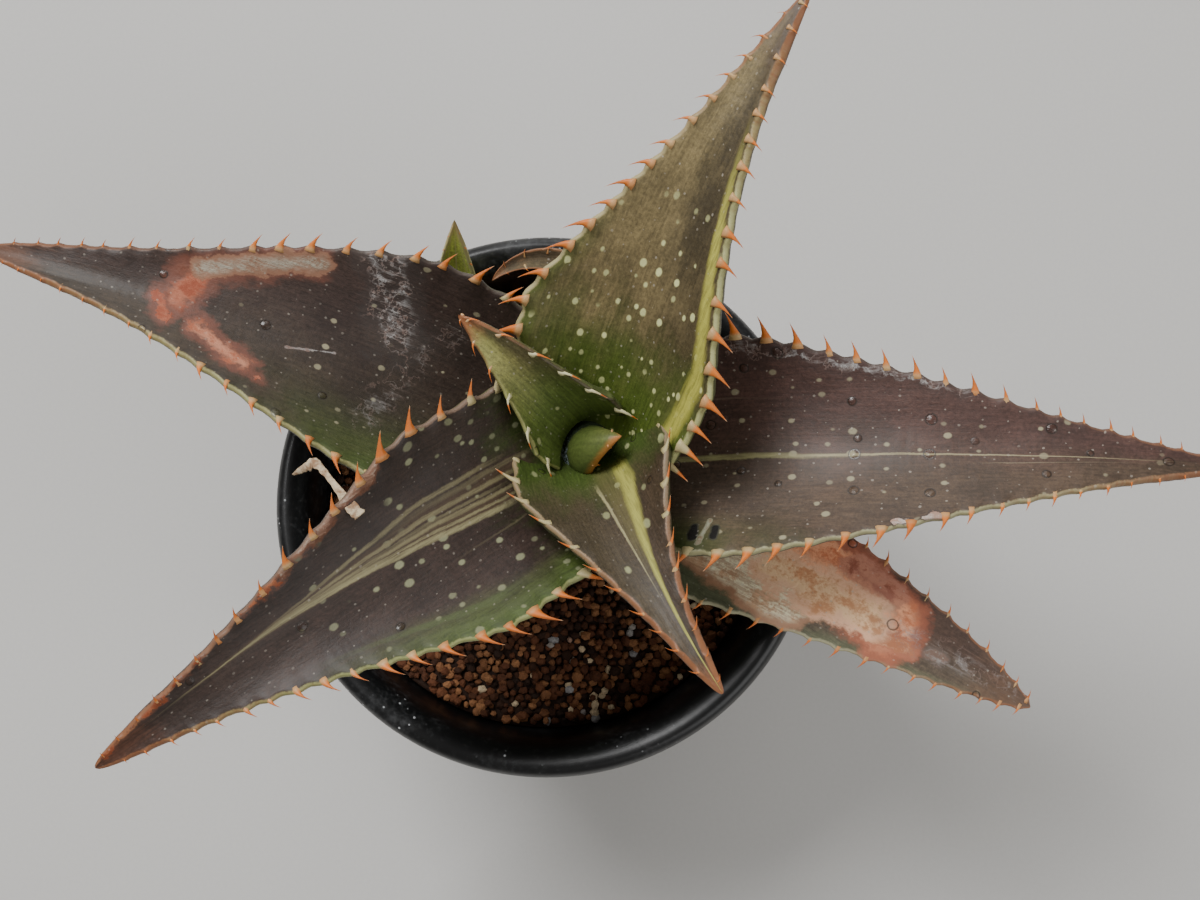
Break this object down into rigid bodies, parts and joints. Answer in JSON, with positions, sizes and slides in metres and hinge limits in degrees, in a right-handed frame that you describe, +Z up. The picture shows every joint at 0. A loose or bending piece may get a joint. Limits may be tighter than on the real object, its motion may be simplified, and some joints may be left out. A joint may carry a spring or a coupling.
{
  "type": "potted variegated soap aloe",
  "caption": "Small soap aloe with broad, toothed, cream-spotted and striped leaves in a loose rosette, with an offset, in a plain round black pot of gritty soil.",
  "frame": {"origin": "centre of the pot's flat underside, which rests on the ground", "axes": "+Z up along the pot's axis; seen from above, +X towards the long right leaf and +Y towards the upright top leaf"},
  "size_m": [0.2543, 0.1465, 0.1741],
  "materials": {
    "pot_plastic": "smooth moulded black plastic, half gloss",
    "gritty_soil": "dry reddish-brown grains with a few cream and grey ones",
    "stem_green": "matt plant tissue",
    "heart_leaf": "waxy yellow-green leaf with cream margins and orange teeth",
    "striped_leaf": "waxy olive-brown leaf with cream spots and a yellow stripe",
    "dark_leaf": "waxy dark brown leaf with cream spots, streaks and a green base",
    "scarred_leaf": "waxy brown leaf with a large pale dry scar",
    "dry_leaf": "shrunken dry brown leaf",
    "pup_leaf": "waxy light green leaf with cream margins"
  },
  "bodies": {
    "root": {"pot": "pot_plastic", "soil": "gritty_soil", "stem": "stem_green", "leaf_innermost": "heart_leaf", "leaf_young": "heart_leaf", "leaf_centre": "striped_leaf", "leaf_top": "striped_leaf", "leaf_lower_left": "dark_leaf", "leaf_right": "dark_leaf", "leaf_left": "dark_leaf", "leaf_lower_right": "scarred_leaf", "leaf_withered": "dry_leaf", "pup": "pup_leaf"}
  },
  "joints": []
}
